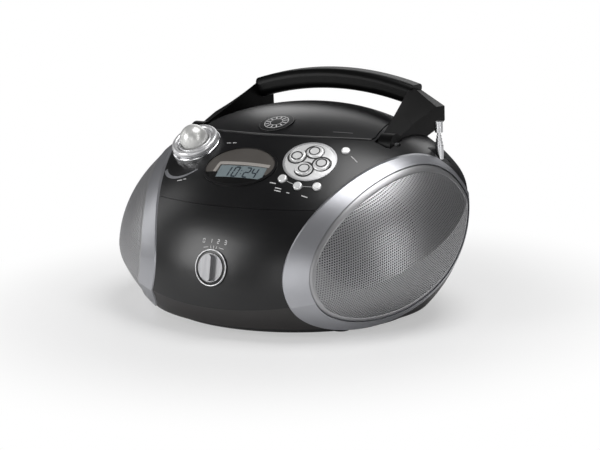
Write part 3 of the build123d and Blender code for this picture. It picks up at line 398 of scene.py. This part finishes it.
# ---- Loudspeakers --------------------------------------------------------------------------
# Behind each sheet stands a moulded baffle with a short horn; its grey face shows through the
# outer holes, and the coated paper cone in its steel basket makes the middle ones dark. The
# same zinc plated steel serves for the screws, pins, rods and drive frame.
baffle_grey = finish("baffle_grey", (0.22, 0.22, 0.23), (0.28, 0.28, 0.29), 0.6, 0.15, grain=1800, depth=0.3)
cone_paper = finish("coated_paper", (0.012, 0.012, 0.013), (0.022, 0.022, 0.024), 0.75, 0.2,
                    grain=1400, depth=0.6)
zinc_steel = finish("zinc_plated_steel", (0.42, 0.43, 0.45), (0.58, 0.58, 0.57), 0.32, 0.15, clouds=60,
                    grain=1200, depth=0.1, Metallic=1.0)
ferrite = finish("ferrite", (0.03, 0.03, 0.032), (0.06, 0.06, 0.063), 0.7, 0.2, grain=1500, depth=0.5)
dress(baffle_grey, "speaker_baffles")
dress(cone_paper, "speaker_cones")
dress(zinc_steel, "speaker_baskets", "case_screws", "hinge_pins", "handle_pins", "spindle_motor",
      "sled_rods", "drive_frame", "volume_pot")
dress(ferrite, "speaker_magnets", "power_transformer")

# ---- Disc deck -----------------------------------------------------------------------------
# The well under the lid, the clamp and the small drive parts are moulded in unpolished black
# ABS with a spark-eroded grain. So are the foot, battery bay, mains inlet, selector switch,
# lid catch and aerial socket.
black_grain = finish("black_grain", (0.016, 0.016, 0.017), (0.028, 0.028, 0.03), 0.55, 0.15,
                     grain=1500, depth=0.5)
dress(black_grain, "cd_deck", "disc_clamp", "turntable", "pickup_sled", "lid_catch", "foot_tray",
      "battery_bay", "mains_inlet", "selector_switch", "aerial_socket")

# ---- Chrome --------------------------------------------------------------------------------
# The volume seat and the aerial are plated bright, the pad and its buttons satin, and the
# selector is brushed. The plate behind the pad buttons is a stamping. The black ring round each
# of those buttons is painted shade in the gap round it, and a thin black ring on its face is
# painted shade of a groove.
chrome = finish("plated_chrome", (0.80, 0.81, 0.83), (0.88, 0.88, 0.89), 0.14, 0.06, clouds=40,
                grain=300, depth=0.004, Metallic=1.0)
satin_chrome = finish("satin_chrome", (0.92, 0.92, 0.92), (0.97, 0.97, 0.97), 0.26, 0.08, clouds=60,
                      grain=2500, depth=0.02, Metallic=0.4)
brushed_knob = finish("brushed_knob", (0.16, 0.16, 0.165), (0.42, 0.42, 0.43), 0.44, 0.1, clouds=420,
                      grain=2500, depth=0.1, stretch=(1, 0.2, 0.06), Metallic=0.75)
# Black for painted shade: rings in the gaps round the pad buttons and on their faces.
painted_shade_black = finish("painted_shade_black", (0.010, 0.010, 0.010), (0.02, 0.02, 0.02), 0.5, 0.1, grain=2000, depth=0.2)
dress(chrome, "volume_seat", "aerial_tube", "aerial_section_1", "aerial_section_2", "aerial_section_3",
      "aerial_section_4")
dress(brushed_knob, "selector_knob")
bright_rim = finish("bright_rim", (0.50, 0.50, 0.51), (0.66, 0.66, 0.67), 0.36, 0.06, clouds=60,
                    grain=2500, depth=0.02, Metallic=0.7)
dress(bright_rim, "pad_ring")
dress(satin_chrome, "pad_plate", "up_button", "down_button", "left_button", "right_button",
      "menu_button", "memory_button", "mode_button", "program_button")


def turned(profile, centre, axis, steps=96):
    """Points and faces of a closed profile of (radius, height) turned about an axis."""
    axis = np.asarray(axis) / np.linalg.norm(axis)
    side = np.cross(axis, (1.0, 0, 0))
    side /= np.linalg.norm(side)
    angle = np.arange(steps) * 2 * pi / steps
    around = np.cos(angle)[:, None] * np.cross(side, axis) + np.sin(angle)[:, None] * side
    profile = np.asarray(profile)
    rings = np.asarray(centre) + profile[:, :1, None] * around + profile[:, 1:, None] * axis
    return rings.reshape(-1, 3), ring_faces(len(profile), steps, True)


def curve(centre, radii, start, stop, count):
    """Points on an arc of an ellipse, from a start to a stop angle in degrees."""
    angle = np.radians(np.linspace(start, stop, count))
    return np.stack((centre[0] + radii[0] * np.cos(angle), centre[1] + radii[1] * np.sin(angle)), axis=-1)


def crown_frame(x, v):
    """A point of the crown and the direction square to it, from two points close beside it."""
    beside = 1e-4
    here, right, up = on_crown(np.array((x, x + beside, x)), np.array((v, v, v + beside)), 0.0)
    square = np.cross(right - here, up - here)
    return here, square / np.linalg.norm(square)


mm = 0.001
pad_centre = (0.0584, -0.0213)
pad_square = crown_frame(*pad_centre)[1]
pad_squeeze = 0.96                          # places across the pad are drawn in by this
button_face = 2.05 * mm                     # above the crown
# Painted shade: a black ring in the gap round each pad button, and a thin black ring on its face for a
# groove.
gap_shade_profile = np.array(((7.42, -1.2), (9.0, -1.2), (9.0, 0.42), (8.7, 0.55), (7.7, 0.55), (7.42, 0.42))) * mm
groove_shade_profile = np.array(((4.1, 0.0), (5.3, 0.0), (5.2, 0.06), (4.2, 0.06))) * mm
for label, (across_pad, up_pad) in {"up": (-0.5, 11.3), "left": (-13.3, 0.9),
                                    "right": (12.2, -0.3), "down": (-0.3, -11.2)}.items():
    spot, square = crown_frame(pad_centre[0] + across_pad * pad_squeeze * mm, pad_centre[1] + up_pad * mm)
    piece(f"{label}_gap_shade_ring", *turned(gap_shade_profile, spot, square, 48), "case", painted_shade_black, "black_matte")
    piece(f"{label}_groove_shade_ring", *turned(groove_shade_profile, spot + pad_square * button_face, pad_square, 48),
          label, painted_shade_black, "black_matte")

# ---- Volume --------------------------------------------------------------------------------
# A ball stands in a broad rolled collar with a dark groove between them, on the round seat
# that rises out of the crown. Ball and collar are lathe-round mouldings, plated satin.
volume_centre, volume_axis = (-0.0690, -0.04998, 0.15696), (0.0, -0.5, sqrt(0.75))  # 30 degrees forward
ball_silver = finish("ball_silver", (0.72, 0.72, 0.70), (0.82, 0.82, 0.80), 0.36, 0.06, clouds=50,
                     grain=3000, depth=0.02, Metallic=0.5, Coat_Weight=0.3, Coat_Roughness=0.12)
collar_chrome = finish("collar_chrome", (0.72, 0.72, 0.73), (0.82, 0.82, 0.83), 0.3, 0.06, clouds=50,
                       grain=3000, depth=0.01, Metallic=0.6)
collar_profile = np.concatenate((
    ((0.0031, 0.0003), (0.0217, 0.0003), (0.0223, 0.0009), (0.0223, 0.0026)),
    curve((0.0198, 0.0030), (0.0025, 0.0026), 0, 180, 14),
    ((0.0172, 0.0022), (0.0160, 0.0022)),
    curve((0.0148, 0.0030), (0.0012, 0.0012), 0, 180, 10),
    ((0.0134, 0.0021), (0.0031, 0.0021))))
ball_profile = np.concatenate((
    ((0.00001, 0.0022), (0.0118, 0.0022)),
    curve((0.0, 0.0062), (0.0130, 0.0130), -17, 89.9, 30)))
collar = piece("collar_ring", *turned(collar_profile, volume_centre, volume_axis), "volume",
               collar_chrome, "chrome_trim")
ball = piece("ball_cap", *turned(ball_profile, volume_centre, volume_axis), "volume",
             ball_silver, "chrome_trim")
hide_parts("volume_collar")
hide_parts("volume_ball")

# ---- Printed marks -------------------------------------------------------------------------
# Pad-printed ink: plain figures and a fine bright ring round the selector, short dashes where
# a maker would print its labels, thin lines that tie the small buttons together and a
# crescent by the volume seat.
ink = finish("printed_ink", (0.50, 0.50, 0.50), (0.66, 0.66, 0.66), 0.5, 0.1, clouds=300,
             grain=2500, depth=0.2)
hair_line, fine_line, label_line = 0.00035, 0.0005, 0.0009


def marks(name, paths, width, lift, made=ink, slot="silver_trim", height=0.00006, body="case"):
    """Raised lines on the crown: paths is an array of lines, each a row of (x, v) points.

    Each line is a closed bar. It is rooted a little below the lift and ends the height above it.
    """
    root = 0.0002
    ahead = np.gradient(paths, axis=1)
    ahead /= np.linalg.norm(ahead, axis=-1, keepdims=True)
    half = np.broadcast_to(width, paths.shape[:2])[..., None] / 2
    sideways = np.stack((-ahead[..., 1], ahead[..., 0]), axis=-1) * half
    low, high = lift - root, lift + height
    corners = [on_crown(edge[..., 0], edge[..., 1], level) for edge, level in (
        (paths - sideways, low), (paths - sideways, high), (paths + sideways, high), (paths + sideways, low))]
    points = np.stack(corners, axis=2)
    lines, count = paths.shape[:2]
    faces = np.concatenate((ring_faces(count, 4, False)[:, ::-1], ((3, 2, 1, 0),),
                            ((4 * count - 4, 4 * count - 3, 4 * count - 2, 4 * count - 1),)))
    faces = (np.arange(lines)[:, None, None] * 4 * count + faces[None]).reshape(-1, 4)
    piece(name, points.reshape(-1, 3), faces, body, made, slot, smooth=False)


def figure(symbol, x, v, wide, tall, slant=0.0):
    """The straight strokes of a figure, drawn from seven bars, as lines of three points."""
    shortened = 0.86                        # so that the strokes don't meet
    bars = {"a": (0, 2, 1, 2), "b": (1, 2, 1, 1), "c": (1, 1, 1, 0), "d": (0, 0, 1, 0),
            "e": (0, 1, 0, 0), "f": (0, 2, 0, 1), "g": (0, 1, 1, 1)}
    lit = {"0": "abcdef", "1": "bc", "2": "abged", "3": "abgcd", "4": "fgbc"}[symbol]
    ends = np.array([bars[bar] for bar in lit], dtype=float).reshape(-1, 2, 2)
    middle = ends.mean(axis=1, keepdims=True)
    ends = middle + (ends - middle) * shortened
    line = ends[:, :1] + (ends[:, 1:] - ends[:, :1]) * np.linspace(0, 1, 3)[:, None]
    up = line[..., 1] * tall / 2
    return np.stack((x + line[..., 0] * wide + up * slant, v + up), axis=-1)


def dash(x, v, long, turn=0.0):
    """A short straight line of three points, turned in degrees about its middle."""
    ahead = np.array((cos(radians(turn)), sin(radians(turn))))
    return (np.array((x, v)) + np.linspace(-long / 2, long / 2, 3)[:, None] * ahead)[None]


dial_v, figure_v, tick_v, wing_v = -0.1269, -0.1120, -0.1148, -0.1150
dial_spot, dial_square = crown_frame(0.0, dial_v)
dial_line = np.array(((15.3, 0.3), (16.3, 0.3), (16.3, 1.15), (15.9, 1.35), (15.3, 1.15))) * mm
piece("dial_line", *turned(dial_line, dial_spot, dial_square), "case", collar_chrome, "chrome_trim")
figure_wide, figure_tall = 0.0020, 0.0026
figures = [figure(symbol, x - figure_wide / 2, figure_v, figure_wide, figure_tall) for symbol, x in zip(
    "0123", (-0.0115, -0.0040, 0.0040, 0.0115))]
marks("selector_figures", np.concatenate(figures), fine_line, 0.0)
ticks = [dash(x, tick_v, 0.0020, 90 + turn) for x, turn in ((-0.0030, 20), (0.0, 0), (0.0030, -20))]
marks("selector_ticks", np.concatenate(ticks), fine_line, 0.0)
wings = [dash(side * 0.0082, wing_v, 0.0050, -side * 6) for side in (-1, 1)]
marks("selector_wings", np.concatenate(wings), hair_line, 0.0)
labels = [dash(*label) for label in (
    (-0.0660, -0.0545, 0.0060), (-0.0600, -0.0540, 0.0030),
    (-0.0330, -0.0105, 0.0050), (-0.0265, -0.0105, 0.0040),
    (0.0370, -0.0540, 0.0060), (0.0440, -0.0580, 0.0062), (0.0445, -0.0605, 0.0062),
    (0.0545, -0.0600, 0.0028), (0.0700, -0.0590, 0.0058), (0.0925, -0.0035, 0.0090, -30))]
marks("label_dashes", np.concatenate(labels), label_line, 0.0)
ties = [dash(0.0522, -0.0498, 0.0075, -12), dash(0.0686, -0.0490, 0.0080, 16)]
marks("button_ties", np.concatenate(ties), hair_line, 0.0)
crescent_steps = 24
crescent = curve((-0.0690, -0.0190), (0.0300, 0.0315), 213, 308, crescent_steps)
marks("volume_crescent", crescent[None], np.linspace(0.0036, 0.0014, crescent_steps)[None], 0.0001,
      silver_paint, "silver_trim")

# ---- Lid badge -----------------------------------------------------------------------------
# A round black boss is let into the lid, with turned silver lines on its face and no
# lettering. A grey ring round the boss's edge and a grey line along the lid's front lip are
# painted highlights on the black gloss, and the lid's one printed line is made here too.
dress(black_gloss, "lid_badge")
badge_centre, badge_face, spoke_radius = (0.0, 0.0240), 0.0016, 0.0086
ring_steps, spoke_count = 60, 12
badge_lines = [curve(badge_centre, (size, size), 0, 360, ring_steps) for size in (0.0112, 0.0060)]
marks("badge_rings", np.stack(badge_lines), 0.0006, badge_face, ink, body="lid")
# Grey for the lid's printed line, and for painted highlights on the black gloss edges of the boss and of the
# lid's front lip.
print_and_edge_highlight_grey = finish("print_and_edge_highlight_grey", (0.12, 0.12, 0.12), (0.18, 0.18, 0.18), 0.3, 0.08, clouds=30, depth=0.02,
                   Metallic=0.2)
# The grey ring round the boss's edge is a painted highlight.
marks("badge_edge_highlight", curve(badge_centre, (0.0160, 0.0160), 0, 360, ring_steps)[None], 0.0003, badge_face,
      print_and_edge_highlight_grey, "black_gloss", body="lid")


def crown_v(x, y, lift):
    """How far along the crease plane the crown is, where it passes over a point of the plan.

    It starts from y itself and takes out a share of what is still wrong, over and over.
    """
    rounds, share_out = 40, 0.7
    v = y.copy()
    for _ in range(rounds):
        height = (on_crown(x, v, lift) - crease) @ above
        v += share_out * ((y - crease[1] + height * sin(lean)) / cos(lean) - v)
    return v


lip_middle, lip_radius, lip_width = 0.1130, 0.150, 0.0009      # the lip's arc in plan
lip_x = np.linspace(-0.0925, 0.0925, 60)
lip_y = lip_middle - np.sqrt(lip_radius**2 - lip_x**2)
lid_face = 0.0008
lip_line = np.stack((lip_x, crown_v(lip_x, lip_y, lid_face)), axis=-1)
line_lift = lid_face + 0.0001
marks("lid_print", dash(0.0670, 0.0265, 0.0170, 22), label_line, line_lift, print_and_edge_highlight_grey, body="lid")
# The grey line along the lid's front lip is a painted highlight on the black gloss.
marks("lid_lip_highlight", lip_line[None], lip_width, line_lift, print_and_edge_highlight_grey, "black_gloss", body="lid")
spokes = [dash(badge_centre[0] + spoke_radius * cos(turn), badge_centre[1] + spoke_radius * sin(turn),
               0.0036, np.degrees(turn)) for turn in np.arange(spoke_count) * 2 * pi / spoke_count]
marks("badge_spokes", np.concatenate(spokes), 0.0012, badge_face, ink, body="lid")

# ---- Display -------------------------------------------------------------------------------
# A satin taupe plate in a black oval frames a grey liquid crystal panel. Its lower part is
# printed black, and a pale strip along the top and left of the window is a painted highlight
# on the bevel of the window's frame.
taupe_plate = finish("taupe_plate", (0.115, 0.105, 0.095), (0.15, 0.14, 0.13), 0.35, 0.1, grain=1600,
                     depth=0.1, Metallic=0.4)
# A paler taupe for the painted highlight on the bevel of the window's frame.
taupe_bevel_highlight = finish("taupe_bevel_highlight", (0.30, 0.28, 0.26), (0.36, 0.34, 0.32), 0.4, 0.1, grain=1600, depth=0.1)
crystal = finish("liquid_crystal", (0.17, 0.21, 0.225), (0.22, 0.26, 0.275), 0.2, 0.05, clouds=20,
                 Coat_Weight=0.5, Coat_Roughness=0.05)
segment_ink = finish("segment_ink", (0.02, 0.03, 0.04), (0.035, 0.045, 0.055), 0.4, 0.1, clouds=200)
black_edge, strip_top = -0.0478, -0.0378        # along the crease plane
segment_lift, segment_height = -0.0003, 0.00003
tree = taupe_plate.node_tree
seen_at, measured, below = (tree.nodes.new("ShaderNode" + kind) for kind in (
    "TexCoord", "VectorMath", "Math"))
printed = tree.nodes.new("ShaderNodeMix")
printed.data_type = "RGBA"
printed.inputs[7].default_value = (0.008, 0.008, 0.008, 1)
measured.operation = "DOT_PRODUCT"
measured.inputs[1].default_value = along
below.operation = "LESS_THAN"
below.inputs[1].default_value = black_edge + float(crease @ along)
tree.links.new(seen_at.outputs["Object"], measured.inputs[0])
tree.links.new(measured.outputs["Value"], below.inputs[0])
tree.links.new(below.outputs[0], printed.inputs[0])
tree.links.new(tree.nodes["tone"].outputs[2], printed.inputs[6])
tree.links.new(printed.outputs[2], tree.nodes["Principled BSDF"].inputs["Base Color"])
dress(taupe_plate, "display_plate")
dress(crystal, "lcd_module")
# The strip along the top and left of the window is a painted highlight.
strip_path = np.array(((-0.0288, black_edge), (-0.0272, strip_top), (0.0262, strip_top)))
corners = np.array((0, 9, 30))                  # which points of the strip lie at its corners
strip_step = np.arange(corners[-1] + 1)
strip_line = np.stack([np.interp(strip_step, corners, strip_path[:, axis]) for axis in (0, 1)], axis=-1)
marks("window_bevel_highlight", strip_line[None], 0.0034, 0.0002, taupe_bevel_highlight, "taupe_plate")
digit_wide, digit_tall, digit_slant, digit_v = 0.0048, 0.0105, 0.12, -0.0522
digits = [figure(symbol, x, digit_v, digit_wide, digit_tall, digit_slant) for symbol, x in zip(
    "1024", (-0.0175, -0.0085, 0.0035, 0.0110))]
marks("clock_figures", np.concatenate(digits), 0.0013, segment_lift, segment_ink, "clear_display",
      segment_height)
colon = [dash(0.0006, -0.0488, 0.0009), dash(0.0003, -0.0455, 0.0009)]
marks("clock_colon", np.concatenate(colon), 0.0009, segment_lift, segment_ink, "clear_display",
      segment_height)

# ---- Boards and feet -----------------------------------------------------------------------
# Two glass fibre boards under green solder mask stand inside, and the foot's four pads are
# moulded rubber pressed into their seats.
solder_mask = finish("solder_mask", (0.02, 0.09, 0.04), (0.03, 0.14, 0.06), 0.4, 0.2, clouds=200,
                     grain=600, depth=0.3)
rubber = finish("rubber", (0.018, 0.018, 0.018), (0.03, 0.03, 0.03), 0.8, 0.1, grain=1800, depth=0.4)
dress(solder_mask, "main_board", "control_board")
dress(rubber, "rubber_feet")
